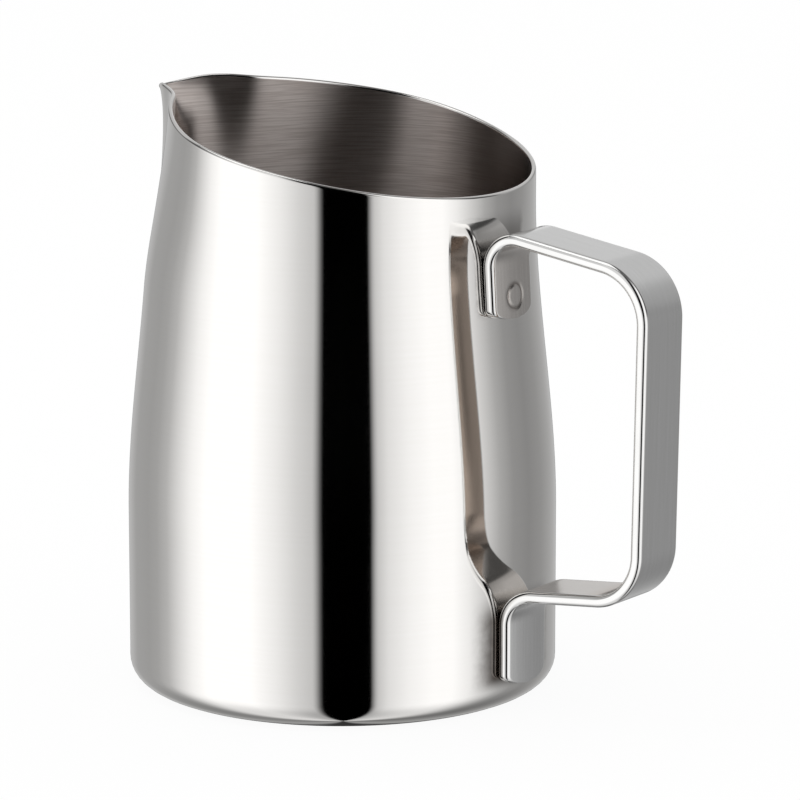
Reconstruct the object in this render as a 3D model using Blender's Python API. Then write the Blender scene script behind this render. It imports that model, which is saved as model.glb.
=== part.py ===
"""Milk frothing pitcher in stainless steel, with a slanted rim and a pressed spout.

The cup is one drawn shell of even wall, standing on the plane z = 0 with its
axis on Z. The spout points along -X. The handle is one bent strip along +X,
and its two end tabs are spot-welded to the wall. All sizes are in metres.
"""

import math

import bmesh
import bpy
from mathutils import Vector

# Cup shell
BELLY_RADIUS = 0.0425  # outside, where the wall runs straight up from the base
NECK_RADIUS = 0.03815  # outside, where the wall has closed in
NECK_START_HEIGHT = 0.0349
NECK_END_HEIGHT = 0.0969
CORNER_RADIUS = 0.0050  # outside, between the base and the wall
SHEET_THICKNESS = 0.0010

# Slanted rim: its height on the axis, and its fall from the spout to the handle
RIM_HEIGHT = 0.1101
RIM_TILT = math.radians(12.24)

# Spout, pressed out of the wall under the high side of the rim
SPOUT_REACH = 0.0080  # how far the ridge is pushed out
SPOUT_DEPTH = 0.0626  # how far below the rim the ridge begins
SPOUT_HALF_ANGLE = 0.311  # radians round the axis
SPOUT_FULLNESS = 2.76  # exponent of its bell curve, 2 being a plain one
SPOUT_GROWTH = 1.25  # how late the ridge swells out, 1 being a straight slope
BEAK_FLARE = 0.00265  # the last outward curl of the edge
BEAK_DEPTH = 0.0075
BEAK_HALF_ANGLE = 0.1115
BEAK_FULLNESS = 1.69
BEAK_DROOP = 0.0045  # how far the beak's edge lies below the slanted plane
DROOP_HALF_ANGLE = 0.181
DROOP_FULLNESS = 1.45
FLANK_DRAW_IN = 0.00455  # how far the wall beside the spout is drawn in
FLANK_DEPTH = 0.0390
FLANK_HALF_ANGLE = 1.211
FLANK_FULLNESS = 5.0

# Handle strip, measured on the middle of its thickness
STRIP_WIDTH = 0.0135
STRIP_THICKNESS = 0.0024
STRIP_EDGE_BREAK = 0.0004
GRIP_TOP_STANDOFF = 0.0320  # from the belly's wall out to the grip
GRIP_FOOT_STANDOFF = 0.0308
UPPER_ROOT_BELOW_RIM = 0.0069  # from the low side of the rim to the upper arm
UPPER_ARM_FALL = 0.0052  # how much lower the upper arm is at the grip
LOWER_ROOT_HEIGHT = 0.0239
LOWER_ARM_RISE = 0.0029  # how much higher the lower arm is at the grip
UPPER_ROOT_BEND = 0.0056
GRIP_TOP_BEND = 0.0107
GRIP_FOOT_BEND = 0.0102
LOWER_ROOT_BEND = 0.0064
UPPER_TAB_LENGTH = 0.0174  # from the arm's height down to the tab's end
LOWER_TAB_LENGTH = 0.0182
TAB_CORNER_WIDTH = 0.0055  # across the strip, of the quarter ellipse at a tab's corner
TAB_CORNER_LENGTH = 0.0023  # along the strip

# Spot welds between the tabs and the wall
NUGGET_RADIUS = 0.0021
NUGGET_THICKNESS = 0.0010
UPPER_WELD_INSET = 0.0044  # from the tab's end up to the weld
LOWER_WELD_INSET = 0.0060

# Clearance left between two pieces that meet
SEAT_GAP = 0.0003

# Fineness of the meshes
SPOUT_COLUMNS = 16  # on each side of the ridge
SPOUT_COLUMN_STEP = math.radians(2.0)
PLAIN_COLUMNS = 20  # on each side, over the rest of the circle
CORNER_ROWS = 5
BARREL_ROWS = 9
MOUTH_ROWS = 11
MOUTH_ROW_CROWDING = 1.3
TAB_STATIONS = 5
BEND_STATIONS = 7
STRIP_SPANS = 4
NUGGET_SIDES = 24

HANDLE_SIDE = math.pi  # angle from the spout round to the handle


def smooth_step(share):
    """Ease from 0 to 1, flat at both ends."""
    share = min(max(share, 0.0), 1.0)
    return share * share * (3.0 - 2.0 * share)


def bell(angle, half_angle, fullness):
    """Bell curve round the spout's direction, flatter on top the fuller it is."""
    return math.exp(-(abs(angle / half_angle) ** fullness))


def crown_height():
    """Height of the slanted rim plane over the neck's wall, on the spout side."""
    return RIM_HEIGHT + math.tan(RIM_TILT) * NECK_RADIUS


def rim_height(angle, radius):
    """Height of the rim's edge, at an angle from the spout and a distance from the axis."""
    plane = RIM_HEIGHT + math.tan(RIM_TILT) * radius * math.cos(angle)
    return plane - BEAK_DROOP * bell(angle, DROOP_HALF_ANGLE, DROOP_FULLNESS)


def wall_radius(angle, height):
    """Outside radius of the wall, above the base's corner."""
    closing = (height - NECK_START_HEIGHT) / (NECK_END_HEIGHT - NECK_START_HEIGHT)
    radius = BELLY_RADIUS - (BELLY_RADIUS - NECK_RADIUS) * smooth_step(closing)
    above_flank = height - (crown_height() - FLANK_DEPTH)
    radius -= (
        FLANK_DRAW_IN
        * smooth_step(above_flank / FLANK_DEPTH)
        * bell(angle, FLANK_HALF_ANGLE, FLANK_FULLNESS)
    )
    above_root = max(height - (crown_height() - SPOUT_DEPTH), 0.0)
    radius += (
        SPOUT_REACH
        * (above_root / SPOUT_DEPTH) ** SPOUT_GROWTH
        * bell(angle, SPOUT_HALF_ANGLE, SPOUT_FULLNESS)
    )
    below_edge = rim_height(angle, NECK_RADIUS) - height
    curl = max(1.0 - below_edge / BEAK_DEPTH, 0.0)
    return radius + BEAK_FLARE * curl**2 * bell(angle, BEAK_HALF_ANGLE, BEAK_FULLNESS)


def edge_height(angle):
    """Height where the wall at this angle meets the rim."""
    height = rim_height(angle, NECK_RADIUS)
    for _ in range(20):
        height = rim_height(angle, wall_radius(angle, height))
    return height


def column_angles():
    """Angles from the spout for the shell's columns, closer together round the spout."""
    spout_end = SPOUT_COLUMNS * SPOUT_COLUMN_STEP
    plain_step = (math.pi - spout_end) / PLAIN_COLUMNS
    near = [SPOUT_COLUMN_STEP * i for i in range(SPOUT_COLUMNS)]
    far = [spout_end + plain_step * i for i in range(PLAIN_COLUMNS + 1)]
    one_side = near + far
    return one_side + [-angle for angle in reversed(one_side[1:-1])]


def shell_point(angle, radius, height):
    """Point of the shell, with the spout's direction along -X."""
    return Vector((-radius * math.cos(angle), -radius * math.sin(angle), height))


def column_points(angle):
    """Outside points of one column, from the base's edge up to the rim."""
    points = []
    for i in range(CORNER_ROWS):
        turn = 0.5 * math.pi * i / CORNER_ROWS
        radius = BELLY_RADIUS - CORNER_RADIUS * (1.0 - math.sin(turn))
        height = CORNER_RADIUS * (1.0 - math.cos(turn))
        points.append(shell_point(angle, radius, height))
    barrel_top = crown_height() - FLANK_DEPTH
    for i in range(BARREL_ROWS):
        height = CORNER_RADIUS + (barrel_top - CORNER_RADIUS) * i / BARREL_ROWS
        points.append(shell_point(angle, wall_radius(angle, height), height))
    top = edge_height(angle)
    for i in range(MOUTH_ROWS + 1):
        share = 1.0 - (1.0 - i / MOUTH_ROWS) ** MOUTH_ROW_CROWDING
        height = barrel_top + (top - barrel_top) * share
        points.append(shell_point(angle, wall_radius(angle, height), height))
    return points


def make_material(name, color, roughness):
    """Bare metal with the given colour and roughness."""
    material = bpy.data.materials.new(name)
    material.use_nodes = True
    shader = material.node_tree.nodes["Principled BSDF"]
    shader.inputs["Base Color"].default_value = (*color, 1.0)
    shader.inputs["Metallic"].default_value = 1.0
    shader.inputs["Roughness"].default_value = roughness
    material.diffuse_color = (*color, 1.0)
    return material


def make_object(name, mesh_builder, material):
    """Turn a bmesh into a smooth-shaded object with sharp edges kept."""
    mesh = bpy.data.meshes.new(name)
    mesh_builder.to_mesh(mesh)
    mesh_builder.free()
    mesh.shade_smooth()
    mesh.set_sharp_from_angle(angle=math.radians(35.0))
    if material:
        mesh.materials.append(material)
    result = bpy.data.objects.new(name, mesh)
    bpy.context.scene.collection.objects.link(result)
    return result


def build_shell(material):
    """Cup: the outside surface as a grid of columns, thickened inward to the sheet's gauge."""
    builder = bmesh.new()
    columns = [
        [builder.verts.new(point) for point in column_points(angle)]
        for angle in column_angles()
    ]
    centre = builder.verts.new((0.0, 0.0, 0.0))
    for column, following in zip(columns, columns[1:] + columns[:1]):
        builder.faces.new((centre, following[0], column[0]))
        for row in range(len(column) - 1):
            builder.faces.new(
                (column[row], following[row], following[row + 1], column[row + 1])
            )
    shell = make_object("cup_shell", builder, material)
    gauge = shell.modifiers.new("sheet gauge", "SOLIDIFY")
    gauge.thickness = SHEET_THICKNESS
    gauge.offset = -1.0
    gauge.use_even_offset = True
    return shell


def seat_reach(height):
    """Distance from the axis to the middle of a tab that lies against the wall."""
    return wall_radius(HANDLE_SIDE, height) + SEAT_GAP + 0.5 * STRIP_THICKNESS


def upper_root_height():
    """Height of the upper arm where it leaves the wall."""
    return rim_height(HANDLE_SIDE, NECK_RADIUS) - UPPER_ROOT_BELOW_RIM


def strip_corners():
    """Corners of the strip's middle line in the X-Z plane, from the upper tab to the lower one."""
    upper_root = upper_root_height()
    upper_end = upper_root - UPPER_TAB_LENGTH
    lower_end = LOWER_ROOT_HEIGHT - LOWER_TAB_LENGTH
    return [
        Vector((seat_reach(upper_end), upper_end)),
        Vector((seat_reach(upper_root), upper_root)),
        Vector((BELLY_RADIUS + GRIP_TOP_STANDOFF, upper_root - UPPER_ARM_FALL)),
        Vector((BELLY_RADIUS + GRIP_FOOT_STANDOFF, LOWER_ROOT_HEIGHT + LOWER_ARM_RISE)),
        Vector((seat_reach(LOWER_ROOT_HEIGHT), LOWER_ROOT_HEIGHT)),
        Vector((seat_reach(lower_end), lower_end)),
    ]


def bend_stations(before, corner, after, radius):
    """Points and headings round one bend, from its first tangent point to its last."""
    heading_in = (corner - before).normalized()
    heading_out = (after - corner).normalized()
    turn = heading_in.angle_signed(heading_out)
    tangent = radius * math.tan(0.5 * abs(turn))
    start = corner - heading_in * tangent
    side = Vector((-heading_in.y, heading_in.x))
    if heading_in.x * heading_out.y - heading_in.y * heading_out.x < 0.0:
        side = -side
    hub = start + side * radius
    stations = []
    for i in range(BEND_STATIONS + 1):
        sweep = abs(turn) * i / BEND_STATIONS
        point = hub - side * radius * math.cos(sweep) + heading_in * radius * math.sin(sweep)
        heading = heading_in * math.cos(sweep) + side * math.sin(sweep)
        stations.append((point, heading))
    return stations


def tab_stations(end, root):
    """Points and headings along a tab, from its rounded end to the bend, closer at the end."""
    heading = (root - end).normalized()
    length = (root - end).length
    turns = [0.5 * math.pi * i / TAB_STATIONS for i in range(TAB_STATIONS + 1)]
    rounded = [TAB_CORNER_LENGTH * (1.0 - math.cos(turn)) for turn in turns]
    straight = [TAB_CORNER_LENGTH + (length - TAB_CORNER_LENGTH) * 0.5]
    return [(end + heading * distance, heading) for distance in rounded + straight]


def strip_half_width(from_end):
    """Half the strip's width at a distance from its rounded end."""
    short = max(1.0 - from_end / TAB_CORNER_LENGTH, 0.0)
    return 0.5 * STRIP_WIDTH - TAB_CORNER_WIDTH * (1.0 - math.sqrt(1.0 - short**2))


def strip_section(half_width):
    """Section of the strip as (across, through) pairs, with broken edges."""
    half = 0.5 * STRIP_THICKNESS
    flat = half_width - STRIP_EDGE_BREAK
    across = [flat * (2.0 * i / STRIP_SPANS - 1.0) for i in range(STRIP_SPANS + 1)]
    outer = [(y, half) for y in across]
    inner = [(y, -half) for y in reversed(across)]
    right = [(half_width, half - STRIP_EDGE_BREAK), (half_width, STRIP_EDGE_BREAK - half)]
    left = [(-half_width, STRIP_EDGE_BREAK - half), (-half_width, half - STRIP_EDGE_BREAK)]
    return outer + right + inner + left


def strip_stations():
    """(point, heading, distance from the nearer end, dish) along the strip.

    The dish is 1 on the upper tab and -1 on the lower one, where the strip is curved
    across its width to fit round the wall, and fades to 0 round the bend next to it.
    """
    corners = strip_corners()
    bends = [UPPER_ROOT_BEND, GRIP_TOP_BEND, GRIP_FOOT_BEND, LOWER_ROOT_BEND]
    arcs = [
        bend_stations(corners[i], corners[i + 1], corners[i + 2], bends[i])
        for i in range(len(bends))
    ]
    first, last = corners[0], corners[-1]
    stations = []
    for point, heading in tab_stations(first, arcs[0][0][0]):
        stations.append((point, heading, (point - first).length, 1.0))
    for number, arc in enumerate(arcs):
        for i, (point, heading) in enumerate(arc):
            share = smooth_step(i / BEND_STATIONS)
            dish = {0: 1.0 - share, len(arcs) - 1: -share}.get(number, 0.0)
            stations.append((point, heading, STRIP_WIDTH, dish))
    for point, heading in reversed(tab_stations(last, arcs[-1][-1][0])):
        stations.append((point, -heading, (point - last).length, -1.0))
    return stations


def build_strip(material):
    """Handle: the strip's section carried along its bent middle line, closed at both ends."""
    builder = bmesh.new()
    rings = []
    for point, heading, from_end, dish in strip_stations():
        normal = Vector((-heading.y, heading.x))
        curve_radius = wall_radius(HANDLE_SIDE, point.y) + SEAT_GAP
        ring = []
        for across, through in strip_section(strip_half_width(from_end)):
            sag = curve_radius - math.sqrt(curve_radius**2 - across**2)
            place = point + normal * (through + dish * sag)
            ring.append(builder.verts.new((place.x, across, place.y)))
        rings.append(ring)
    count = len(rings[0])
    for ring, following in zip(rings, rings[1:]):
        for i in range(count):
            j = (i + 1) % count
            builder.faces.new((ring[i], ring[j], following[j], following[i]))
    builder.faces.new(rings[0])
    builder.faces.new(reversed(rings[-1]))
    bmesh.ops.recalc_face_normals(builder, faces=builder.faces)
    return make_object("handle_strip", builder, material)


def weld_seat(height):
    """Distance from the axis to the face of a weld that lies next to the wall."""
    return SEAT_GAP + max(
        wall_radius(HANDLE_SIDE, height - NUGGET_RADIUS),
        wall_radius(HANDLE_SIDE, height + NUGGET_RADIUS),
    )


def build_disc(name, height, radius, inner_reach, outer_reach, material):
    """Round disc lying along X, between two distances from the cup's axis."""
    builder = bmesh.new()
    bmesh.ops.create_cone(
        builder,
        cap_ends=True,
        segments=NUGGET_SIDES,
        radius1=radius,
        radius2=radius,
        depth=outer_reach - inner_reach,
    )
    disc = make_object(name, builder, material)
    disc.location = (0.5 * (inner_reach + outer_reach), 0.0, height)
    disc.rotation_euler = (0.0, 0.5 * math.pi, 0.0)
    return disc


def build_weld(name, height, strip, material):
    """Weld nugget, and the pocket for it in the tab's wall side."""
    seat = weld_seat(height)
    nugget = build_disc(
        name, height, NUGGET_RADIUS, seat, seat + NUGGET_THICKNESS, material
    )
    pocket = build_disc(
        name + "_pocket",
        height,
        NUGGET_RADIUS + SEAT_GAP,
        seat - STRIP_THICKNESS,
        seat + NUGGET_THICKNESS + SEAT_GAP,
        None,
    )
    pocket.hide_render = True
    pocket.display_type = "WIRE"
    cut = strip.modifiers.new(name + " pocket", "BOOLEAN")
    cut.operation = "DIFFERENCE"
    cut.solver = "EXACT"
    cut.object = pocket
    return nugget


def main():
    """Clear the scene and build the pitcher under one empty at its base."""
    for item in list(bpy.data.objects):
        bpy.data.objects.remove(item, do_unlink=True)

    polished = make_material("polished steel", (0.80, 0.79, 0.78), 0.08)
    satin = make_material("satin steel", (0.72, 0.72, 0.71), 0.28)
    weld = make_material("weld steel", (0.45, 0.43, 0.41), 0.45)

    shell = build_shell(polished)
    strip = build_strip(satin)
    upper_weld_height = upper_root_height() - UPPER_TAB_LENGTH + UPPER_WELD_INSET
    lower_weld_height = LOWER_ROOT_HEIGHT - LOWER_TAB_LENGTH + LOWER_WELD_INSET
    upper_weld = build_weld("upper_weld", upper_weld_height, strip, weld)
    lower_weld = build_weld("lower_weld", lower_weld_height, strip, weld)

    pitcher = bpy.data.objects.new("pitcher", None)
    bpy.context.scene.collection.objects.link(pitcher)
    for piece in (shell, strip, upper_weld, lower_weld):
        piece.parent = pitcher


main()
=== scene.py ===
"""A stainless steel milk frothing pitcher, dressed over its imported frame."""

import logging
import math
from dataclasses import dataclass, field
from enum import Enum
from typing import Any, NamedTuple, Sequence

import bmesh
import bpy
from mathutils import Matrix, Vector


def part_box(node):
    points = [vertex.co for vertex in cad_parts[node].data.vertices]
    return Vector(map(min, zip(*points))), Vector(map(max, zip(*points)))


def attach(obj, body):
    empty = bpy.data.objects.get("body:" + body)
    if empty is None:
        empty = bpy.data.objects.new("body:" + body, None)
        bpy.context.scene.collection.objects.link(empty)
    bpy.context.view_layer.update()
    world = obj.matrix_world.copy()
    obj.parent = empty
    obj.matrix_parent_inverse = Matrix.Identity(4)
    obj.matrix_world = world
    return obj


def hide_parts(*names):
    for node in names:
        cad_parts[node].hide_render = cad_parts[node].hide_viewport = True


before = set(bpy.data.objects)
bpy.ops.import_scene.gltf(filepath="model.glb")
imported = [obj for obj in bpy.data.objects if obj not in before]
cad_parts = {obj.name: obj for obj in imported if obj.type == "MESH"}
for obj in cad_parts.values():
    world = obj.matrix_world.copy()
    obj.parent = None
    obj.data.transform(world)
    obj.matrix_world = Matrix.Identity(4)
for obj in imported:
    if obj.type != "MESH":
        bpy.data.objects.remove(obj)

LOG = logging.getLogger("pitcher")
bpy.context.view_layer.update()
ROOT = "root"
# Angles round the cup are counted from the spout, so the handle is half a turn away.
HANDLE_SIDE = math.pi
QUARTER_TURN = 0.5 * math.pi
UP = Vector((0.0, 0.0, 1.0))

STRIP_MAP = "strip"
BURN = "burn"
# Order of the cup's finishes and of the strip's.
OUTSIDE, INSIDE = range(2)
FACE, EDGE, INNER_FACE = range(3)

Color = tuple[float, float, float]


class Slot(Enum):
    """The record's finishes for the cup and the handle."""

    POLISHED = "polished_steel"
    SATIN = "satin_steel"


# ---------------------------------------------------------------- node trees


class Value:
    """A node output that takes part in arithmetic, where each sign adds a Math node."""

    def __init__(self, bench: "Bench", socket: bpy.types.NodeSocket) -> None:
        """Keep the output and the bench that makes its nodes."""
        self.bench = bench
        self.socket = socket

    def __add__(self, other: Any) -> "Value":
        """Sum."""
        return self.bench.math("ADD", self, other)

    def __sub__(self, other: Any) -> "Value":
        """Difference."""
        return self.bench.math("SUBTRACT", self, other)

    def __rsub__(self, other: Any) -> "Value":
        """Difference, with this value taken away."""
        return self.bench.math("SUBTRACT", other, self)

    def __mul__(self, other: Any) -> "Value":
        """Product."""
        return self.bench.math("MULTIPLY", self, other)

    def __truediv__(self, other: Any) -> "Value":
        """Quotient."""
        return self.bench.math("DIVIDE", self, other)

    def __rtruediv__(self, other: Any) -> "Value":
        """Quotient, with this value as the divisor."""
        return self.bench.math("DIVIDE", other, self)

    __radd__ = __add__
    __rmul__ = __mul__

    def eased(self, low: float, high: float) -> "Value":
        """Smooth climb of this value.

        Args:
            low: Where the climb starts, at 0.
            high: Where it ends, at 1.

        Returns:
            The climb, flat outside that range.
        """
        node = self.bench.node(
            "ShaderNodeMapRange",
            {"interpolation_type": "SMOOTHSTEP"},
            {"Value": self, "From Min": low, "From Max": high},
        )
        return Value(self.bench, node.outputs["Result"])


def opaque(color: Any) -> Any:
    """Four numbers of a colour that has three, or the link as it is."""
    return (*color, 1.0) if isinstance(color, tuple) else color


class Bench:
    """Makes the nodes of one tree."""

    # A Mix node has sockets for numbers, vectors and colours: these are the colour ones.
    MIX_SHARE = 0
    MIX_FIRST = 6
    MIX_SECOND = 7
    MIX_RESULT = 2

    def __init__(self, tree: bpy.types.NodeTree) -> None:
        """Start on an emptied tree."""
        self.tree = tree
        tree.nodes.clear()

    def node(
        self,
        kind: str,
        settings: dict[str, Any] | None = None,
        inputs: dict[Any, Any] | None = None,
    ) -> bpy.types.Node:
        """Make one node.

        Args:
            kind: The node's type name.
            settings: Its properties, or "stops" for a ramp, set before its inputs.
            inputs: Numbers or links for its sockets, by name or index.

        Returns:
            The new node.
        """
        made = self.tree.nodes.new(kind)
        for key, value in (settings or {}).items():
            if key == "stops":
                self._set_stops(made.color_ramp, value)
            else:
                setattr(made, key, value)
        for key, value in (inputs or {}).items():
            socket = made.inputs[key]
            if isinstance(value, Value):
                self.tree.links.new(value.socket, socket)
            elif isinstance(value, bpy.types.NodeSocket):
                self.tree.links.new(value, socket)
            else:
                socket.default_value = value
        return made

    @staticmethod
    def _set_stops(ramp: bpy.types.ColorRamp, stops: Sequence[tuple[float, float]]) -> None:
        """Give a ramp its grey stops.

        Args:
            ramp: The ramp to fill.
            stops: Pairs of position and brightness, in order of position.
        """
        while len(ramp.elements) > 1:
            ramp.elements.remove(ramp.elements[-1])
        for number, (position, level) in enumerate(stops):
            stop = ramp.elements[0] if number == 0 else ramp.elements.new(position)
            stop.position = position
            stop.color = (level, level, level, 1.0)

    def math(self, operation: str, *terms: Any) -> Value:
        """Number from one Math node, given its operation and its terms."""
        node = self.node("ShaderNodeMath", {"operation": operation}, dict(enumerate(terms)))
        return Value(self, node.outputs[0])

    def mix_color(self, share: Any, first: Any, second: Any) -> Value:
        """Blend of two colours.

        Args:
            share: How much of the second colour there is, from 0 to 1.
            first: The first colour, as numbers or a link.
            second: The second colour, as numbers or a link.

        Returns:
            The blended colour.
        """
        node = self.node(
            "ShaderNodeMix",
            {"data_type": "RGBA"},
            {self.MIX_SHARE: share, self.MIX_FIRST: opaque(first), self.MIX_SECOND: opaque(second)},
        )
        return Value(self, node.outputs[self.MIX_RESULT])

    def join(self, x: Any, y: Any, z: Any) -> Value:
        """Vector from three numbers."""
        node = self.node("ShaderNodeCombineXYZ", inputs={0: x, 1: y, 2: z})
        return Value(self, node.outputs[0])

    def split(self, vector: Any) -> tuple[Value, Value, Value]:
        """Three numbers of a vector."""
        node = self.node("ShaderNodeSeparateXYZ", inputs={0: vector})
        return tuple(Value(self, node.outputs[i]) for i in range(3))

    def object_place(self) -> tuple[Value, Value, Value]:
        """Place on the piece, as three numbers in metres."""
        return self.split(self.node("ShaderNodeTexCoord").outputs["Object"])

    def noise(self, vector: Any, detail: float = 2.0, roughness: float = 0.5) -> Value:
        """Noise with cells of about 1 unit.

        Args:
            vector: Where the noise is read.
            detail: Number of finer layers.
            roughness: Share of the finer layers.

        Returns:
            The noise, about 0 to 1.
        """
        node = self.node(
            "ShaderNodeTexNoise",
            inputs={"Vector": vector, "Scale": 1.0, "Detail": detail, "Roughness": roughness},
        )
        return Value(self, node.outputs[0])

    def bump(self, height: Value, depth: float) -> Value:
        """Normal from a height field of 0 to 1, with its depth in metres."""
        node = self.node("ShaderNodeBump", inputs={"Height": height, "Distance": depth})
        return Value(self, node.outputs["Normal"])


# ------------------------------------------------------------------ finishes


@dataclass(frozen=True)
class Finish:
    """A bare metal surface with fine lines from polishing or brushing.

    Lengths are in metres. The lines are level rings round the cup's axis.
    """

    name: str
    color: Color
    line_color: Color
    roughness: float
    roughness_spread: float
    line_pitch: float = 0.00025
    line_length: float = 0.02
    line_depth: float = 0.000003
    wave_depth: float = 0.0
    anisotropic: float = 0.0
    grain_turn: float = 0.25
    line_detail: float = 3.0
    line_roughness: float = 0.6
    line_band: tuple[float, float] = (0.35, 0.65)
    ring_radius: float = 0.04
    drift_per_metre: float = 12.0
    patches_per_metre: tuple[float, float, float] = (30.0, 30.0, 18.0)

    def lines(self, bench: Bench) -> tuple[Value, Value]:
        """Fields for the fine lines and for the broad unevenness.

        Args:
            bench: Where this finish's nodes are made.

        Returns:
            The line field and the broad field, both about 0 to 1.
        """
        x, y, z = bench.object_place()
        turn = bench.math("ARCTAN2", y, x)
        lines_round = self.ring_radius / self.line_length
        rings = bench.join(turn * lines_round, z / self.line_pitch, x * self.drift_per_metre)
        fine = bench.noise(rings, self.line_detail, self.line_roughness)
        per_x, per_y, per_z = self.patches_per_metre
        broad = bench.noise(bench.join(x * per_x, y * per_y, z * per_z), self.line_detail)
        return fine, broad

    def stain_and_shade(self, bench: Bench, color: Value) -> Value:
        """Colour with the marks and painted shade that this finish carries: here it has neither."""
        return color

    def build(self) -> bpy.types.Material:
        """Make the material.

        Returns:
            The new material, named after the finish.
        """
        material = bpy.data.materials.new(self.name)
        material.use_nodes = True
        bench = Bench(material.node_tree)
        fine, broad = self.lines(bench)
        color = bench.mix_color(fine.eased(*self.line_band), self.line_color, self.color)
        roughness = self.roughness + (fine - 0.5) * self.roughness_spread
        roughness = roughness + (broad - 0.5) * self.roughness_spread
        height = fine
        if self.wave_depth:
            height = fine + broad * (self.wave_depth / self.line_depth)
        normal = bench.bump(height, self.line_depth)
        shader = bench.node(
            "ShaderNodeBsdfPrincipled",
            inputs={
                "Base Color": self.stain_and_shade(bench, color),
                "Metallic": 1.0,
                "Roughness": roughness,
                "Anisotropic": self.anisotropic,
                "Anisotropic Rotation": self.grain_turn,
                "Normal": normal,
            },
        )
        bench.node("ShaderNodeOutputMaterial", inputs={"Surface": shader.outputs[0]})
        material.diffuse_color = opaque(self.color)
        return material


@dataclass(frozen=True)
class StripFinish(Finish):
    """A strip's finish, with its lines along the strip."""

    burn_color: Color = (0.20, 0.17, 0.15)
    # Painted shade on the grip's inner side, where it is set.
    grip_shade_color: Color | None = None
    grip_shade_band: tuple[float, float] = (0.060, 0.069)
    line_slice: float = 0.5
    patch_slice: float = 2.5
    patches_across: float = 120.0
    patches_along: float = 60.0

    def stain_and_shade(self, bench: Bench, color: Value) -> Value:
        """Darken the electrode's ring, and paint shade on the grip's inner side.

        Args:
            bench: Where this finish's nodes are made.
            color: The clean colour.

        Returns:
            The colour with its ring and, where it has one, the painted shade on its grip.
        """
        burn = bench.node("ShaderNodeAttribute", {"attribute_name": BURN}).outputs["Fac"]
        color = bench.mix_color(burn, color, self.burn_color)
        if self.grip_shade_color is None:
            return color
        x, _, _ = bench.object_place()
        # Painted shade on the inner face along the grip.
        return bench.mix_color(x.eased(*self.grip_shade_band), color, self.grip_shade_color)

    def lines(self, bench: Bench) -> tuple[Value, Value]:
        """Fields read from the strip's own map, in metres across and along.

        Args:
            bench: Where this finish's nodes are made.

        Returns:
            The line field and the broad field, both about 0 to 1.
        """
        strip_map = bench.node("ShaderNodeUVMap", {"uv_map": STRIP_MAP})
        across, along, _ = bench.split(strip_map.outputs[0])
        grain = bench.join(across / self.line_pitch, along / self.line_length, self.line_slice)
        fine = bench.noise(grain, self.line_detail, self.line_roughness)
        patches = bench.join(
            across * self.patches_across, along * self.patches_along, self.patch_slice
        )
        return fine, bench.noise(patches, self.line_detail)


class TabShadeZone(NamedTuple):
    """A stretch of wall with painted shade and painted dark reflection on both sides of its tab."""

    low: float
    high: float
    reach: float
    strength: float


@dataclass(frozen=True)
class CupFinish(Finish):
    """The cup's outside, with painted shade and painted dark reflection beside the two tabs."""

    # Painted shade: near-black laid beside the tabs for their shadow and dark reflection.
    shade_color: Color = (0.10, 0.083, 0.072)
    tab_half_width: float = 0.0068
    handle_band: tuple[float, float] = (0.030, 0.034)
    ragged_cells: float = 500.0
    ragged_width: float = 0.0016
    foot_blur: float = 0.0015
    top_blur: float = 0.003
    zones: tuple[TabShadeZone, ...] = (
        TabShadeZone(low=0.0060, high=0.0215, reach=0.0068, strength=0.97),
        TabShadeZone(low=0.0790, high=0.0960, reach=0.0020, strength=0.55),
    )

    def stain_and_shade(self, bench: Bench, color: Value) -> Value:
        """Paint shade on the wall on both sides of each tab, standing in for the tab's shadow and
        dark reflection.

        Args:
            bench: Where this finish's nodes are made.
            color: The clean colour.

        Returns:
            The colour, with painted shade in its zones.
        """
        x, y, z = bench.object_place()
        cells = self.ragged_cells
        ragged = (bench.noise(bench.join(x * cells, y * cells, z * cells)) - 0.5) * self.ragged_width
        side = bench.math("ABSOLUTE", y) + ragged
        handle_side = x.eased(*self.handle_band)
        for zone in self.zones:
            beside = 1.0 - side.eased(self.tab_half_width, self.tab_half_width + zone.reach)
            above_low = z.eased(zone.low - self.foot_blur, zone.low + self.foot_blur)
            above_high = z.eased(zone.high - self.top_blur, zone.high + self.top_blur)
            share = beside * (above_low * (1.0 - above_high)) * handle_side * zone.strength
            # Mix in the painted shade and dark reflection.
            color = bench.mix_color(share, color, self.shade_color)
        return color


@dataclass(frozen=True)
class InsideFinish(Finish):
    """The cup's inside, with painted shade on the half toward the tabs."""

    shade_share: float = 0.82
    shade_level: float = 0.3
    shade_band: tuple[float, float] = (-0.001, 0.012)

    def stain_and_shade(self, bench: Bench, color: Value) -> Value:
        """Darken the wall on the handle half with painted shade, standing in for its dark
        reflections.

        Args:
            bench: Where this finish's nodes are made.
            color: The clean colour.

        Returns:
            The colour, with painted shade from the middle of the cup toward the handle.
        """
        x, _, _ = bench.object_place()
        # Painted shade on the handle half of the inside, for its dark reflections.
        shade_tone = tuple(self.shade_level * level for level in self.line_color)
        return bench.mix_color(x.eased(*self.shade_band) * self.shade_share, color, shade_tone)


MIRROR = CupFinish(
    "mirror steel outside",
    color=(0.945, 0.93, 0.91),
    line_color=(0.939, 0.923, 0.901),
    roughness=0.05,
    roughness_spread=0.02,
    line_pitch=0.0005,
    line_length=0.03,
    line_depth=0.0000002,
    wave_depth=0.00001,
)
BRUSHED = InsideFinish(
    "brushed steel inside",
    color=(0.80, 0.73, 0.695),
    line_color=(0.62, 0.55, 0.515),
    roughness=0.42,
    roughness_spread=0.10,
    line_pitch=0.00028,
    line_length=0.012,
    line_depth=0.000012,
    anisotropic=1.0,
)
STRIP_FACE = StripFinish(
    "satin steel strip",
    color=(0.94, 0.94, 0.94),
    line_color=(0.90, 0.90, 0.895),
    roughness=0.17,
    roughness_spread=0.05,
)
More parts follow.
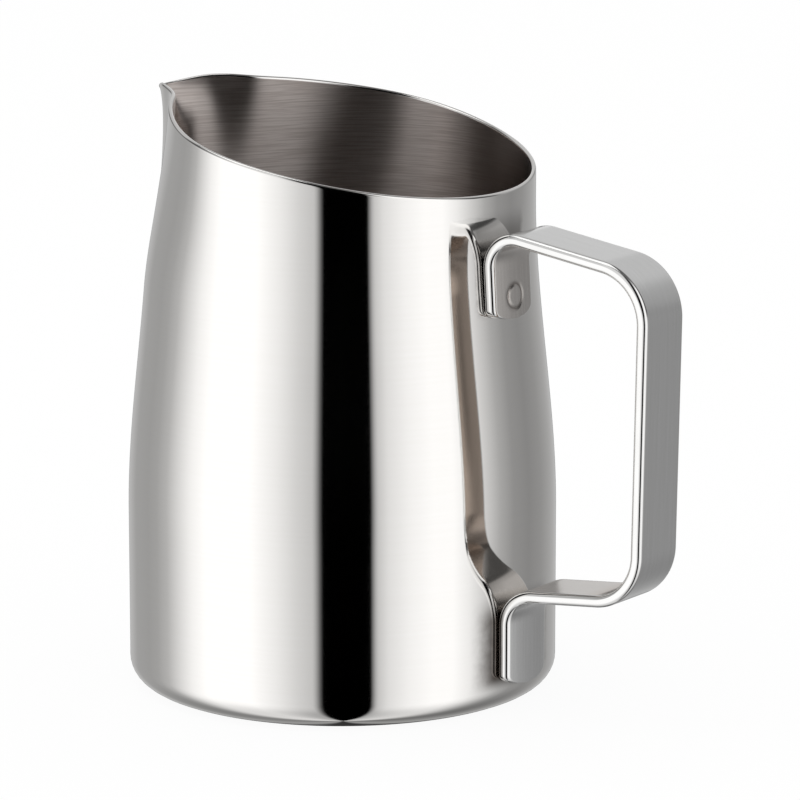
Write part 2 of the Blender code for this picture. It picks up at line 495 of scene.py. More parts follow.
# Painted shade: the inner face is darker than the outer face, and darker still on the grip.
STRIP_INSIDE = StripFinish(
    "satin strip inside",
    grip_shade_color=(0.64, 0.54, 0.47),
    color=(0.80, 0.765, 0.735),
    line_color=(0.74, 0.705, 0.675),
    roughness=0.20,
    roughness_spread=0.06,
)
STRIP_EDGE = StripFinish(
    "polished strip edge",
    color=(0.93, 0.925, 0.915),
    line_color=(0.88, 0.875, 0.865),
    roughness=0.09,
    roughness_spread=0.04,
    line_pitch=0.0003,
    line_depth=0.000002,
)
WELD_SCALE = Finish(
    "weld scale",
    color=(0.45, 0.41, 0.38),
    line_color=(0.30, 0.27, 0.25),
    roughness=0.5,
    roughness_spread=0.2,
    line_pitch=0.0006,
    line_length=0.0006,
    line_depth=0.00005,
)


# ---------------------------------------------------------------- shape rules


def smooth_step(share: float) -> float:
    """Ease a share from 0 to 1, flat at both ends."""
    share = min(max(share, 0.0), 1.0)
    return share * share * (3.0 - 2.0 * share)


def bell(angle: float, half_angle: float, fullness: float) -> float:
    """Bell curve round the spout's direction, flatter on top the fuller it is."""
    return math.exp(-(abs(angle / half_angle) ** fullness))


def arc(spans: int) -> list[float]:
    """Angles inside a quarter turn, cut in that many spans, without its two ends."""
    return [QUARTER_TURN * i / spans for i in range(1, spans)]


@dataclass
class Cup:
    """The drawn cup: necked wall, slanted rim and pressed spout.

    Lengths are in metres. The depths of the spout and of the flanks are counted down
    from the crown, where the rim's slanted plane meets the neck on the spout's side,
    and the beak's from the rim. A half angle is counted from the spout's direction.
    """

    belly_radius: float
    neck_radius: float = 0.03815
    neck_start: float = 0.0349
    neck_end: float = 0.0969
    corner_radius: float = 0.0050
    sheet: float = 0.0010
    rim_height_on_axis: float = 0.1101
    rim_tilt: float = math.radians(12.24)
    spout_reach: float = 0.0080
    spout_depth: float = 0.0626
    spout_half_angle: float = 0.311
    spout_fullness: float = 2.76
    spout_growth: float = 1.25
    beak_flare: float = 0.00265
    beak_depth: float = 0.0075
    beak_half_angle: float = 0.1115
    beak_fullness: float = 1.69
    beak_droop: float = 0.0045
    droop_half_angle: float = 0.181
    droop_fullness: float = 1.45
    flank_draw_in: float = 0.00455
    flank_depth: float = 0.0390
    flank_half_angle: float = 1.211
    flank_fullness: float = 5.0
    spout_columns: int = 64
    spout_column_step: float = math.radians(0.75)
    plain_columns: int = 88
    corner_rows: int = 10
    barrel_rows: int = 34
    mouth_rows: int = 56
    mouth_crowding: float = 1.2
    lip_rows: int = 8
    rim_rounds: int = 20
    nudge_angle: float = 1e-4
    nudge_height: float = 1e-5
    sharp_angle: float = math.radians(60.0)

    @property
    def crown(self) -> float:
        """Height of the slanted plane over the neck's wall, on the spout side."""
        return self.rim_height_on_axis + math.tan(self.rim_tilt) * self.neck_radius

    def rim_height(self, angle: float, radius: float) -> float:
        """Height of the rim's edge.

        Args:
            angle: Angle from the spout.
            radius: Radius at which the rim is cut.

        Returns:
            The height of the slanted plane there, less the droop of the beak.
        """
        plane = self.rim_height_on_axis + math.tan(self.rim_tilt) * radius * math.cos(angle)
        droop = bell(angle, self.droop_half_angle, self.droop_fullness)
        return plane - self.beak_droop * droop

    def wall_radius(self, angle: float, height: float) -> float:
        """Outside radius of the wall above the base's corner.

        Args:
            angle: Angle from the spout.
            height: Height over the base.

        Returns:
            The radius of the necked wall, with its flanks drawn in beside the spout,
            the ridge of the spout and the curl of the beak.
        """
        closing = (height - self.neck_start) / (self.neck_end - self.neck_start)
        radius = self.belly_radius
        radius -= (self.belly_radius - self.neck_radius) * smooth_step(closing)
        above_flank = (height - self.crown + self.flank_depth) / self.flank_depth
        flank = bell(angle, self.flank_half_angle, self.flank_fullness)
        radius -= self.flank_draw_in * smooth_step(above_flank) * flank
        above_root = max((height - self.crown + self.spout_depth) / self.spout_depth, 0.0)
        ridge = bell(angle, self.spout_half_angle, self.spout_fullness)
        radius += self.spout_reach * above_root**self.spout_growth * ridge
        below_edge = self.rim_height(angle, self.neck_radius) - height
        curl = max(1.0 - below_edge / self.beak_depth, 0.0)
        beak = bell(angle, self.beak_half_angle, self.beak_fullness)
        return radius + self.beak_flare * curl**2 * beak

    def edge_height(self, angle: float) -> float:
        """Height where the wall meets the rim, found by going round from one to the other.

        Args:
            angle: Angle from the spout.

        Returns:
            The height of the edge.
        """
        height = self.rim_height(angle, self.neck_radius)
        for _ in range(self.rim_rounds):
            height = self.rim_height(angle, self.wall_radius(angle, height))
        return height

    def wall_point(self, angle: float, height: float) -> Vector:
        """Outside point of the wall."""
        radius = self.wall_radius(angle, height)
        return Vector((-radius * math.cos(angle), -radius * math.sin(angle), height))

    def wall_normal(self, angle: float, height: float) -> Vector:
        """Outward direction of the wall.

        Args:
            angle: Angle from the spout.
            height: Height over the base.

        Returns:
            A vector of length 1, square to the wall.
        """
        left = self.wall_point(angle - self.nudge_angle, height)
        right = self.wall_point(angle + self.nudge_angle, height)
        below = self.wall_point(angle, height - self.nudge_height)
        above = self.wall_point(angle, height + self.nudge_height)
        return (right - left).cross(above - below).normalized()

    def column_angles(self) -> list[float]:
        """Angles of the columns, closer together round the spout.

        Returns:
            The angles, once round the cup.
        """
        spout_end = self.spout_columns * self.spout_column_step
        step = (math.pi - spout_end) / self.plain_columns
        near = [self.spout_column_step * i for i in range(self.spout_columns)]
        far = [spout_end + step * i for i in range(self.plain_columns + 1)]
        one_side = near + far
        return one_side + [-angle for angle in reversed(one_side[1:-1])]

    def corner(self, angle: float) -> tuple[list[Vector], list[Vector]]:
        """Rounded corner between base and wall.

        Args:
            angle: Angle from the spout.

        Returns:
            Its points on the outside and on the inside, from the base upward.
        """
        outward = Vector((-math.cos(angle), -math.sin(angle), 0.0))
        hub = outward * (self.belly_radius - self.corner_radius) + UP * self.corner_radius
        outside, inside = [], []
        for i in range(self.corner_rows):
            turn = QUARTER_TURN * i / self.corner_rows
            normal = outward * math.sin(turn) - UP * math.cos(turn)
            outside.append(hub + normal * self.corner_radius)
            inside.append(hub + normal * (self.corner_radius - self.sheet))
        return outside, inside

    def row_heights(self, top: float) -> list[float]:
        """Heights of the rows of points on the wall, closer together toward the rim.

        Args:
            top: Height of the last row, just under the rolled lip.

        Returns:
            The heights, from the corner upward.
        """
        foot = self.corner_radius
        shoulder = self.crown - self.flank_depth
        barrel = [i / self.barrel_rows for i in range(self.barrel_rows)]
        mouth = [
            1.0 - (1.0 - i / self.mouth_rows) ** self.mouth_crowding
            for i in range(self.mouth_rows + 1)
        ]
        heights = [foot + (shoulder - foot) * share for share in barrel]
        return heights + [shoulder + (top - shoulder) * share for share in mouth]

    def lip(self, angle: float, top: float) -> list[Vector]:
        """Round edge of the sheet.

        Args:
            angle: Angle from the spout.
            top: Height at which the wall ends and the round starts.

        Returns:
            Its points, from the outside over to the inside.
        """
        half = 0.5 * self.sheet
        point, normal = self.wall_point(angle, top), self.wall_normal(angle, top)
        climb = (point - self.wall_point(angle, top - self.nudge_height)).normalized()
        hub = point - normal * half
        turns = [math.pi * i / self.lip_rows for i in range(1, self.lip_rows)]
        return [
            hub + normal * half * math.cos(turn) + climb * half * math.sin(turn)
            for turn in turns
        ]

    def column(self, angle: float) -> tuple[list[Vector], list[Vector]]:
        """One column of the cup.

        Args:
            angle: Angle from the spout.

        Returns:
            Points up the outside and over the lip, and down the inside.
        """
        outside, inside = self.corner(angle)
        top = self.edge_height(angle) - 0.5 * self.sheet
        for height in self.row_heights(top):
            point = self.wall_point(angle, height)
            outside.append(point)
            inside.append(point - self.wall_normal(angle, height) * self.sheet)
        return outside + self.lip(angle, top), list(reversed(inside))

    def build(self) -> bpy.types.Object:
        """Make the cup as one closed skin, polished outside and brushed inside.

        Returns:
            The visible cup.
        """
        builder = bmesh.new()
        columns = []
        for angle in self.column_angles():
            outside, inside = self.column(angle)
            columns.append([builder.verts.new(p) for p in outside + inside])
            split = len(outside)
        foot = builder.verts.new((0.0, 0.0, 0.0))
        floor = builder.verts.new((0.0, 0.0, self.sheet))
        for column, following in zip(columns, columns[1:] + columns[:1]):
            builder.faces.new((foot, following[0], column[0]))
            builder.faces.new((floor, column[-1], following[-1])).material_index = INSIDE
            for row in range(len(column) - 1):
                face = builder.faces.new(
                    (column[row], following[row], following[row + 1], column[row + 1])
                )
                face.material_index = INSIDE if row >= split else OUTSIDE
        dress = [MIRROR.build(), BRUSHED.build()]
        cup = finish_mesh("cup", builder, dress, self.sharp_angle)
        settle(cup, Slot.POLISHED, "cup_shell")
        return cup


class LinePoint(NamedTuple):
    """One place on the strip's middle line, in the X-Z plane.

    The dish says how far the strip is hollowed to lie on the round wall: 1 on the
    upper tab, -1 on the lower one, which faces the other way, and 0 on the arms.
    """

    point: Vector
    heading: Vector
    dish: float


class Station(NamedTuple):
    """One section of the strip, with its distances from the nearer end and from the first."""

    point: Vector
    heading: Vector
    dish: float
    from_end: float
    so_far: float


@dataclass
class Handle:
    """The bent strip, its two tabs and the mark of the spot weld.

    Lengths are in metres. The middle line runs from the upper tab's free end, by the
    four bends, to the lower tab's free end.
    """

    cup: Cup
    width: float
    thickness: float = 0.0024
    edge_radius: float = 0.00095
    seat_gap: float = 0.00005
    grip_top_standoff: float = 0.0320
    grip_foot_standoff: float = 0.0308
    upper_root_below_rim: float = 0.0069
    upper_arm_fall: float = 0.0052
    lower_root_height: float = 0.0239
    lower_arm_rise: float = 0.0029
    bends: tuple[float, ...] = (0.0056, 0.0107, 0.0102, 0.0064)
    upper_tab_length: float = 0.0174
    lower_tab_length: float = 0.0182
    tab_corner_width: float = 0.0055
    tab_corner_length: float = 0.0023
    step: float = 0.0003
    long_step: float = 0.00075
    least_bend_spans: int = 8
    across_spans: int = 46
    edge_spans: int = 8
    full_dish: float = 0.99
    face_share: float = 0.4
    mark_radius: float = 0.0024
    mark_width: float = 0.00036
    mark_depth: float = 0.00022
    mark_burn: float = 0.7
    sharp_angle: float = math.radians(50.0)
    stations: list[Station] = field(default_factory=list)

    def seat(self, height: float) -> float:
        """Distance from the axis to the middle of a tab against the wall."""
        return self.cup.wall_radius(HANDLE_SIDE, height) + self.seat_gap + 0.5 * self.thickness

    def corners(self) -> list[Vector]:
        """Corners of the middle line, before they are rounded.

        Returns:
            Points of (X, Z), from the upper tab's end to the lower tab's end.
        """
        rim = self.cup.rim_height(HANDLE_SIDE, self.cup.neck_radius)
        upper = rim - self.upper_root_below_rim
        upper_end = upper - self.upper_tab_length
        lower = self.lower_root_height
        lower_end = lower - self.lower_tab_length
        belly = self.cup.belly_radius
        return [
            Vector((self.seat(upper_end), upper_end)),
            Vector((self.seat(upper), upper)),
            Vector((belly + self.grip_top_standoff, upper - self.upper_arm_fall)),
            Vector((belly + self.grip_foot_standoff, lower + self.lower_arm_rise)),
            Vector((self.seat(lower), lower)),
            Vector((self.seat(lower_end), lower_end)),
        ]

    def run(self, start: Vector, end: Vector, dish: float) -> list[LinePoint]:
        """Straight stretch of the middle line, up to but without its end.

        Args:
            start: Where it starts.
            end: Where it ends.
            dish: How far the strip is hollowed there, with closer places if it is.

        Returns:
            Its places, evenly spaced.
        """
        step = self.step if dish else self.long_step
        heading = (end - start).normalized()
        count = max(int((end - start).length / step), 1)
        return [LinePoint(start.lerp(end, i / count), heading, dish) for i in range(count)]

    def bend(self, number: int, corners: Sequence[Vector]) -> tuple[list[LinePoint], Vector]:
        """Round bend at one corner of the middle line.

        Args:
            number: Which bend, counted from the upper tab.
            corners: The corners before, at and after the bend.

        Returns:
            Its places, and the point at which it ends.
        """
        before, corner, after = corners
        radius = self.bends[number]
        ahead = (corner - before).normalized()
        beyond = (after - corner).normalized()
        cross = ahead.x * beyond.y - ahead.y * beyond.x
        turn = math.atan2(abs(cross), ahead.dot(beyond))
        side = Vector((-ahead.y, ahead.x)) * math.copysign(1.0, cross)
        hub = corner - ahead * radius * math.tan(0.5 * turn) + side * radius
        spans = max(int(turn * radius / self.step), self.least_bend_spans)
        places = []
        for i in range(spans + 1):
            sweep, share = turn * i / spans, smooth_step(i / spans)
            point = hub - side * radius * math.cos(sweep) + ahead * radius * math.sin(sweep)
            heading = ahead * math.cos(sweep) + side * math.sin(sweep)
            dish = {0: 1.0 - share, len(self.bends) - 1: -share}.get(number, 0.0)
            places.append(LinePoint(point, heading, dish))
        return places[:-1], places[-1].point

    def plan(self) -> list[Station]:
        """Lay out the sections of the strip along its middle line.

        Returns:
            The sections, from the upper tab's end to the lower tab's end.
        """
        corners = self.corners()
        line: list[LinePoint] = []
        start = corners[0]
        for number in range(len(self.bends)):
            places, bend_end = self.bend(number, corners[number : number + 3])
            line += self.run(start, places[0].point, 1.0 if number == 0 else 0.0) + places
            start = bend_end
        line += self.run(start, corners[-1], -1.0)
        line.append(LinePoint(corners[-1], line[-1].heading, -1.0))
        travelled = [0.0]
        for place, following in zip(line, line[1:]):
            travelled.append(travelled[-1] + (following.point - place.point).length)
        total = travelled[-1]
        return [
            Station(*place, from_end=min(so_far, total - so_far), so_far=so_far)
            for place, so_far in zip(line, travelled)
        ]

    def half_width(self, from_end: float) -> float:
        """Half the strip's width, narrower where a tab's corners are rounded.

        Args:
            from_end: Distance from the nearer end.

        Returns:
            Half the width there.
        """
        short = max(1.0 - from_end / self.tab_corner_length, 0.0)
        return 0.5 * self.width - self.tab_corner_width * (1.0 - math.sqrt(1.0 - short**2))

    def section(self) -> list[tuple[float, float, float]]:
        """Section of the strip, with flat faces and rounded edges.

        Returns:
            Points round it as (share, through, beyond): the share of the flat from -1 to 1,
            the distance through the strip, and the distance beyond the flat.
        """
        half, radius = 0.5 * self.thickness, self.edge_radius
        turns = arc(self.edge_spans) + [QUARTER_TURN]
        edge = [
            (half - radius * (1.0 - math.cos(turn)), radius * math.sin(turn)) for turn in turns
        ]
        edge += [(-through, beyond) for through, beyond in reversed(edge)]
        flats = [2.0 * i / self.across_spans - 1.0 for i in range(self.across_spans + 1)]
        ring = [(share, half, 0.0) for share in flats]
        ring += [(1.0, through, beyond) for through, beyond in edge]
        ring += [(share, -half, 0.0) for share in reversed(flats)]
        ring += [(-1.0, through, -beyond) for through, beyond in reversed(edge)]
        return ring

    def mark(self, across: float, height: float) -> float:
        """Share of the electrode's ring on the upper tab's face.

        Args:
            across: Distance from the strip's middle.
            height: Height over the base.

        Returns:
            1 on the ring, falling to 0 on both sides of it.
        """
        distance = math.hypot(across, height - centre_of("upper_weld").z)
        return math.exp(-(((distance - self.mark_radius) / self.mark_width) ** 2))

    def place(self, station: Station, share: float, through: float, beyond: float) -> Vector:
        """Place of one point of the strip's skin.

        Args:
            station: The section that the point is on.
            share: Share of the flat across the strip, from -1 to 1.
            through: Distance through the strip.
            beyond: Distance beyond the flat, on a rounded edge.

        Returns:
            The point, bent to the wall on a tab, and pressed in at the electrode's ring.
        """
        point, heading, dish = station.point, station.heading, station.dish
        across = (self.half_width(station.from_end) - self.edge_radius) * share + beyond
        wall = self.cup.wall_radius(HANDLE_SIDE, point.y) + self.seat_gap
        sag = dish * (wall - math.sqrt(wall**2 - across**2))
        if dish > self.full_dish and through < -self.face_share * self.thickness:
            through += self.mark_depth * self.mark(across, point.y)
        spot = point + Vector((-heading.y, heading.x)) * (through + sag)
        return Vector((spot.x, across, spot.y))

    def build(self) -> bpy.types.Object:
        """Make the strip along its line and dress its faces and edges.

        Returns:
            The visible handle.
        """
        self.stations = self.plan()
        section = self.section()
        points = [station.point for station in self.stations]
        line = line_object("strip line", [Vector((point.x, 0.0, point.y)) for point in points])
        flat_half = 0.5 * self.width
        outline = [
            Vector((share * flat_half + beyond, through, 0.0))
            for share, through, beyond in section
        ]
        ring = line_object("strip section", outline, closed=True)
        dress = [STRIP_FACE.build(), STRIP_EDGE.build(), STRIP_INSIDE.build()]
        mesh = sweep_along(line, ring, dress[EDGE])
        if len(mesh.vertices) != len(section) * len(self.stations):
            raise RuntimeError("the swept strip isn't one ring of points for each section")
        for vertex in mesh.vertices:
            station, corner = divmod(vertex.index, len(section))
            vertex.co = self.place(self.stations[station], *section[corner])
        self.map_strip(mesh, len(section))
        builder = bmesh.new()
        builder.from_mesh(mesh)
        bpy.data.meshes.remove(mesh)
        bmesh.ops.recalc_face_normals(builder, faces=builder.faces)
        strip = finish_mesh("handle", builder, dress, self.sharp_angle)
        settle(strip, Slot.SATIN, "handle_strip")
        return strip

    def map_strip(self, mesh: bpy.types.Mesh, count: int) -> None:
        """Give the skin its map in metres, its ring of scale and its finishes.

        Args:
            mesh: The strip's mesh, in rings of points.
            count: Points in each ring.
        """
        back = count // 2
        layer = mesh.uv_layers.new(name=STRIP_MAP)
        burn = mesh.attributes.new(BURN, "FLOAT", "POINT")
        for vertex in mesh.vertices:
            station, corner = divmod(vertex.index, count)
            on_tab = self.stations[station].dish > self.full_dish
            if on_tab and back <= corner <= back + self.across_spans:
                burn.data[vertex.index].value = self.mark_burn * self.mark(vertex.co.y, vertex.co.z)
        for polygon in mesh.polygons:
            corners = []
            for loop in polygon.loop_indices:
                index = mesh.loops[loop].vertex_index
                station, corner = divmod(index, count)
                corners.append(corner)
                layer.data[loop].uv = (mesh.vertices[index].co.y, self.stations[station].so_far)
            polygon.material_index = self.finish_number(corners, back)

    def finish_number(self, corners: Sequence[int], back: int) -> int:
        """Which finish a face has.

        Args:
            corners: Places of its points in their rings.
            back: Place in a ring at which the inner face starts.

        Returns:
            The outer face's, the inner one's, or that of the edges and the ends.
        """
        low, high = min(corners), max(corners)
        if high - low != 1:
            return EDGE
        if high <= self.across_spans:
            return FACE
        return INNER_FACE if back <= low < back + self.across_spans else EDGE


# --------------------------------------------------------------- mesh helpers


def centre_of(node: str) -> Vector:
    """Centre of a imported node's box."""
    low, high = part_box(node)
    return 0.5 * (Vector(low) + Vector(high))


def show(thing: bpy.types.Object) -> bpy.types.Object:
    """Put an object in the scene, and hand it back."""
    bpy.context.scene.collection.objects.link(thing)
    return thing


def line_object(name: str, points: Sequence[Vector], closed: bool = False) -> bpy.types.Object:
    """Points joined by edges, as a helper object.

    Args:
        name: Name of the helper.
        points: The points, in order.
        closed: Whether the last point joins the first.

    Returns:
        The helper.
    """
    mesh = bpy.data.meshes.new(name)
    edges = [(i, i + 1) for i in range(len(points) - 1)]
    if closed:
        edges.append((len(points) - 1, 0))
    mesh.from_pydata(points, edges, [])
    return show(bpy.data.objects.new(name, mesh))


def sweep_tree() -> tuple[bpy.types.NodeTree, dict[str, str]]:
    """Tree that carries a closed section along a line.

    Returns:
        The tree, and the identifier of each named input.
    """
    tree = bpy.data.node_groups.new("sweep a section", "GeometryNodeTree")
    face = tree.interface
    face.new_socket("Line", in_out="INPUT", socket_type="NodeSocketGeometry")
    section = face.new_socket("Section", in_out="INPUT", socket_type="NodeSocketObject")
    finish = face.new_socket("Finish", in_out="INPUT", socket_type="NodeSocketMaterial")
    face.new_socket("Skin", in_out="OUTPUT", socket_type="NodeSocketGeometry")
    bench = Bench(tree)
    given = bench.node("NodeGroupInput")
    info = bench.node("GeometryNodeObjectInfo", inputs={0: given.outputs["Section"]})
    line = bench.node("GeometryNodeMeshToCurve", inputs={0: given.outputs["Line"]})
    ring = bench.node("GeometryNodeMeshToCurve", inputs={0: info.outputs["Geometry"]})
    skin = bench.node(
        "GeometryNodeCurveToMesh",
        inputs={"Curve": line.outputs[0], "Profile Curve": ring.outputs[0], "Fill Caps": True},
    )
    whole = bench.node("GeometryNodeRealizeInstances", inputs={0: skin.outputs[0]})
    dressed = bench.node(
        "GeometryNodeSetMaterial",
        inputs={"Geometry": whole.outputs[0], "Material": given.outputs["Finish"]},
    )
    bench.node("NodeGroupOutput", inputs={0: dressed.outputs[0]})
    return tree, {"Section": section.identifier, "Finish": finish.identifier}


def sweep_along(
    line: bpy.types.Object, ring: bpy.types.Object, material: bpy.types.Material
) -> bpy.types.Mesh:
    """Skin of a section carried along a line, as a plain mesh.

    Args:
        line: Helper with the line's points.
        ring: Helper with the section's points.
        material: What the skin wears.

    Returns:
        The skin. Both helpers and the modifier are gone.
    """
    tree, inputs = sweep_tree()
    modifier = line.modifiers.new("sweep", "NODES")
    modifier.node_group = tree
    modifier[inputs["Section"]] = ring
    modifier[inputs["Finish"]] = material
    bpy.context.view_layer.update()
    graph = bpy.context.evaluated_depsgraph_get()
    mesh = bpy.data.meshes.new_from_object(line.evaluated_get(graph))
    for helper in (line, ring):
        bpy.data.objects.remove(helper, do_unlink=True)
    return mesh


def finish_mesh(
    name: str,
    builder: bmesh.types.BMesh,
    materials: Sequence[bpy.types.Material],
    sharp: float,
) -> bpy.types.Object:
    """Turn a bmesh into a smooth object with its finishes.

    Args:
        name: Name of the piece.
        builder: The bmesh, which is freed.
        materials: One for each material index.
        sharp: Angle past which an edge stays sharp.

    Returns:
        The object.
    """
    mesh = bpy.data.meshes.new(name)
    for material in materials:
        mesh.materials.append(material)
    builder.to_mesh(mesh)
    builder.free()
    mesh.shade_smooth()
    mesh.set_sharp_from_angle(angle=sharp)
    return show(bpy.data.objects.new(name, mesh))


def settle(piece: bpy.types.Object, slot: Slot, *nodes: str) -> None:
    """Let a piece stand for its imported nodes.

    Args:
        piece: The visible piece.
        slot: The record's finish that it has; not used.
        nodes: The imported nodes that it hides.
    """
    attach(piece, ROOT)
    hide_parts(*nodes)
    LOG.info("%s: %d faces", piece.name, len(piece.data.polygons))


@dataclass
class SpotWelds:
    """The nuggets between the tabs and the wall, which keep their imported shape."""

    names: tuple[str, ...] = ("upper_weld", "lower_weld")

    def build(self) -> None:
        """Dress both nuggets in weld scale."""
        material = WELD_SCALE.build()
        for name in self.names:
            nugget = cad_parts[name]
            if not nugget.material_slots:
                nugget.data.materials.append(material)
            for slot in nugget.material_slots:
                slot.material = material
            LOG.info("%s: dressed", name)


# -------------------------------------------------------------------- studio


def grey(level: float) -> Color:
    """Grey of one brightness."""
    return (level, level, level)


@dataclass
class Studio:
    """Pale floor, soft light and the room that polished steel mirrors.

    The room is a set of pale and dark walls all round. A stripe is (direction, brightness),
    where the direction is in degrees from the camera's side, counted to its right.
    """

    heading: float
    floor_size: float = 6.0
    floor_drop: float = 0.0001
    floor_grey: float = 0.9
    floor_glow: float = 0.93
    white: float = 1.12
    low_room: tuple[tuple[float, float], ...] = (
        (-180.0, 0.05), (-177.0, 0.05), (-170.0, 0.50), (-158.0, 0.45), (-147.0, 0.36),
        (-128.0, 0.34), (-118.0, 0.37), (-108.0, 0.47), (-98.0, 0.71), (-88.0, 0.95),
        (-78.0, 1.10), (-50.0, 1.10), (-35.0, 0.88), (-24.0, 0.68), (-15.0, 0.56),
        (-10.5, 0.0), (15.5, 0.0), (19.0, 0.57), (25.0, 0.77), (37.0, 0.95),
        (50.0, 1.06), (62.0, 1.06), (72.0, 0.90), (83.0, 0.64), (94.0, 0.41),
        (105.0, 0.29), (120.0, 0.25), (135.0, 0.29), (152.0, 0.38), (170.0, 0.50),
        (177.0, 0.05), (180.0, 0.05),
    )
    high_room: tuple[tuple[float, float], ...] = (
        (-180.0, 0.78), (-170.0, 0.60), (-155.0, 0.06), (-125.0, 0.05), (-100.0, 0.12),
        (-80.0, 0.40), (-60.0, 0.72), (-32.0, 0.72), (-17.0, 0.0), (21.0, 0.0),
        (33.0, 1.00), (66.0, 1.12), (78.0, 0.60), (87.0, 0.06), (103.0, 0.06),
        (112.0, 0.38), (125.0, 0.30), (158.0, 0.20), (170.0, 0.72), (180.0, 0.78),
    )
    # Each band is the rise, as the sine of the elevation, over which one part of the
    # room gives way to the next, and each grey is the brightness of that part.
    low_to_high: tuple[float, float] = (-0.02, 0.16)
    back_share: tuple[float, float] = (0.31, 0.37)
    back_rise: tuple[float, float] = (0.12, 0.45)
    back_grey: float = 0.46
    ceiling_rise: tuple[float, float] = (0.7, 0.95)
    ceiling_grey: float = 0.1
    ground_fall: tuple[float, float] = (0.35, 0.9)
    ground_dark: float = 0.35
    lamp_place: tuple[float, float, float] = (-0.3, -0.2, 1.2)
    lamp_aim: tuple[float, float, float] = (0.0, 0.0, 0.05)
    lamp_size: float = 0.8
    lamp_watts: float = 2.0

    def walls(self, bench: Bench) -> Value:
        """Brightness of the room in every direction.

        Args:
            bench: Where the world's nodes are made.

        Returns:
            The room's colour, as a share of its white.
        """
        x, y, z = bench.split(bench.node("ShaderNodeTexCoord").outputs["Generated"])
        cos_h, sin_h = math.cos(self.heading), math.sin(self.heading)
        ahead = x * cos_h + y * sin_h
        right = y * cos_h - x * sin_h
        turn = bench.math("ARCTAN2", right, ahead) / (2.0 * math.pi) + 0.5
        low, high = (self.stripes(bench, turn, room) for room in (self.low_room, self.high_room))
        wall = bench.mix_color(z.eased(*self.low_to_high), low, high)
        back = bench.math("ABSOLUTE", turn - 0.5).eased(*self.back_share)
        wall = bench.mix_color(back * z.eased(*self.back_rise), wall, grey(self.back_grey))
        wall = bench.mix_color(z.eased(*self.ceiling_rise), wall, grey(self.ceiling_grey))
        ground = (-1.0 * z).eased(*self.ground_fall) * self.ground_dark
        return bench.mix_color(ground, wall, grey(0.0))

    def stripes(
        self, bench: Bench, turn: Value, room: Sequence[tuple[float, float]]
    ) -> bpy.types.NodeSocket:
        """Brightness of one height of the room.

        Args:
            bench: Where the world's nodes are made.
            turn: Direction, as a share of a full turn that starts behind.
            room: Its stripes.

        Returns:
            The ramp's colour, as a share of the room's white.
        """
        stops = [(degrees / 360.0 + 0.5, level / self.white) for degrees, level in room]
        return bench.node("ShaderNodeValToRGB", {"stops": stops}, {0: turn}).outputs["Color"]

    def room(self) -> None:
        """Make the world: white to the eye, striped by direction to the steel."""
        world = bpy.data.worlds.new("room")
        world.use_nodes = True
        bench = Bench(world.node_tree)
        wall = self.walls(bench)
        shiny = Value(bench, bench.node("ShaderNodeLightPath").outputs["Is Glossy Ray"])
        background = bench.node(
            "ShaderNodeBackground",
            inputs={
                "Color": bench.mix_color(shiny, grey(1.0), wall),
                "Strength": 1.0 + shiny * (self.white - 1.0),
            },
        )
        bench.node("ShaderNodeOutputWorld", inputs={"Surface": background.outputs[0]})
        bpy.context.scene.world = world

    def floor(self) -> None:
        """Make the pale floor, which keeps a faint shadow."""
        builder = bmesh.new()
        bmesh.ops.create_grid(builder, x_segments=1, y_segments=1, size=self.floor_size)
        mesh = bpy.data.meshes.new("floor")
        builder.to_mesh(mesh)
        builder.free()
        floor = show(bpy.data.objects.new("floor", mesh))
        floor.location.z = -self.floor_drop
        floor.visible_glossy = False
        material = bpy.data.materials.new("pale floor")
        material.use_nodes = True
        bench = Bench(material.node_tree)
        matt = bench.node("ShaderNodeBsdfDiffuse", inputs={"Color": opaque(grey(self.floor_grey))})
        glow = bench.node(
            "ShaderNodeEmission", inputs={"Color": opaque(grey(1.0)), "Strength": 1.0}
        )
        to_eye = Value(bench, bench.node("ShaderNodeLightPath").outputs["Is Camera Ray"])
        both = bench.node(
            "ShaderNodeMixShader",
            inputs={0: to_eye * self.floor_glow, 1: matt.outputs[0], 2: glow.outputs[0]},
        )
        bench.node("ShaderNodeOutputMaterial", inputs={"Surface": both.outputs[0]})
        mesh.materials.append(material)

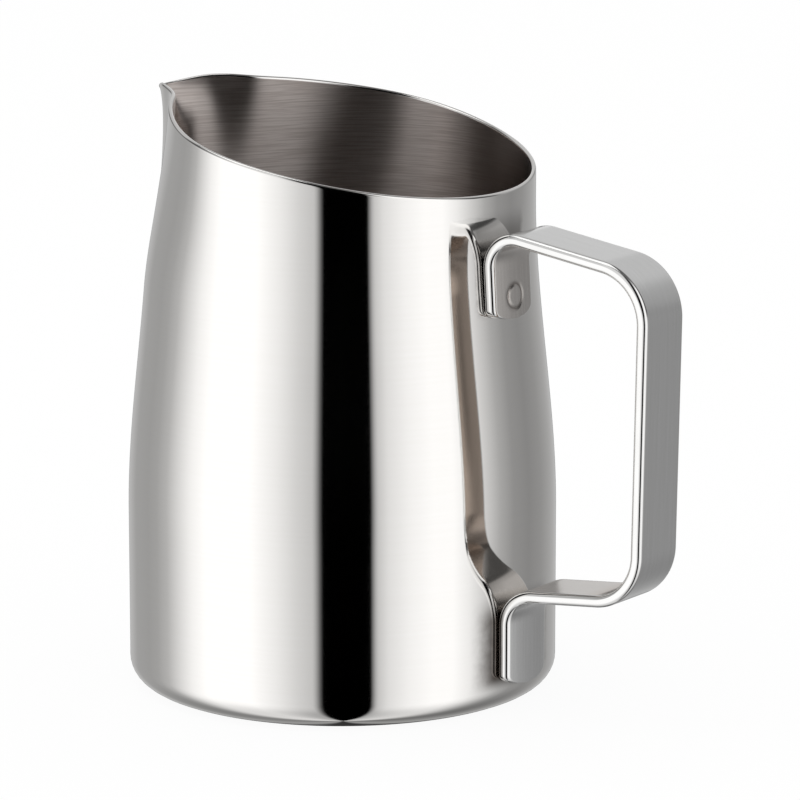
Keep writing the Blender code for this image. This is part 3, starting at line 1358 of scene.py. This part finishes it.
    def lamp(self) -> None:
        """Hang the soft square lamp over the pitcher."""
        data = bpy.data.lights.new("soft top", "AREA")
        data.shape = "SQUARE"
        data.size = self.lamp_size
        data.energy = self.lamp_watts
        lamp = show(bpy.data.objects.new("soft top", data))
        lamp.location = self.lamp_place
        direction = Vector(self.lamp_aim) - Vector(self.lamp_place)
        lamp.rotation_euler = direction.to_track_quat("-Z", "Y").to_euler()

    def build(self) -> None:
        """Set up the room, the floor and the lamp."""
        self.room()
        self.floor()
        self.lamp()
        LOG.info("studio ready")


@dataclass
class Viewpoint:
    """The camera's place round the pitcher, with its lens as a share of the film's width."""

    turn: float = math.radians(35.51)
    elevation: float = math.radians(12.195)
    distance: float = 1.0
    film_width: float = 36.0
    focal_share: float = 6.3075
    nearest: float = 0.01
    aim_right: float = 0.011452
    aim_height: float = 0.056211

    @property
    def heading(self) -> float:
        """Direction from the axis to the camera, as an angle from +X."""
        return self.turn - QUARTER_TURN

    def build(self) -> None:
        """Place the camera."""
        right = Vector((math.cos(self.turn), math.sin(self.turn), 0.0))
        toward = Vector((math.cos(self.heading), math.sin(self.heading), 0.0))
        aim = right * self.aim_right + UP * self.aim_height
        place = aim + toward * self.distance * math.cos(self.elevation)
        place.z += self.distance * math.sin(self.elevation)
        data = bpy.data.cameras.new("camera")
        data.sensor_width = self.film_width
        data.lens = self.film_width * self.focal_share
        data.clip_start = self.nearest
        camera = show(bpy.data.objects.new("camera", data))
        camera.location = place
        camera.rotation_euler = (aim - place).to_track_quat("-Z", "Y").to_euler()
        bpy.context.scene.camera = camera
        LOG.info("camera ready")


def main() -> None:
    """Build every sub-assembly, then the studio and the camera."""
    logging.basicConfig(level=logging.INFO, format="%(name)s: %(message)s")
    bpy.context.scene.view_settings.view_transform = "Standard"
    cup = Cup(belly_radius=float(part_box("cup_shell")[1][1]))
    cup.build()
    strip_low, strip_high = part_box("handle_strip")
    Handle(cup=cup, width=float(strip_high[1] - strip_low[1])).build()
    SpotWelds().build()
    view = Viewpoint()
    Studio(heading=view.heading).build()
    view.build()


if __name__ == "__main__":
    main()
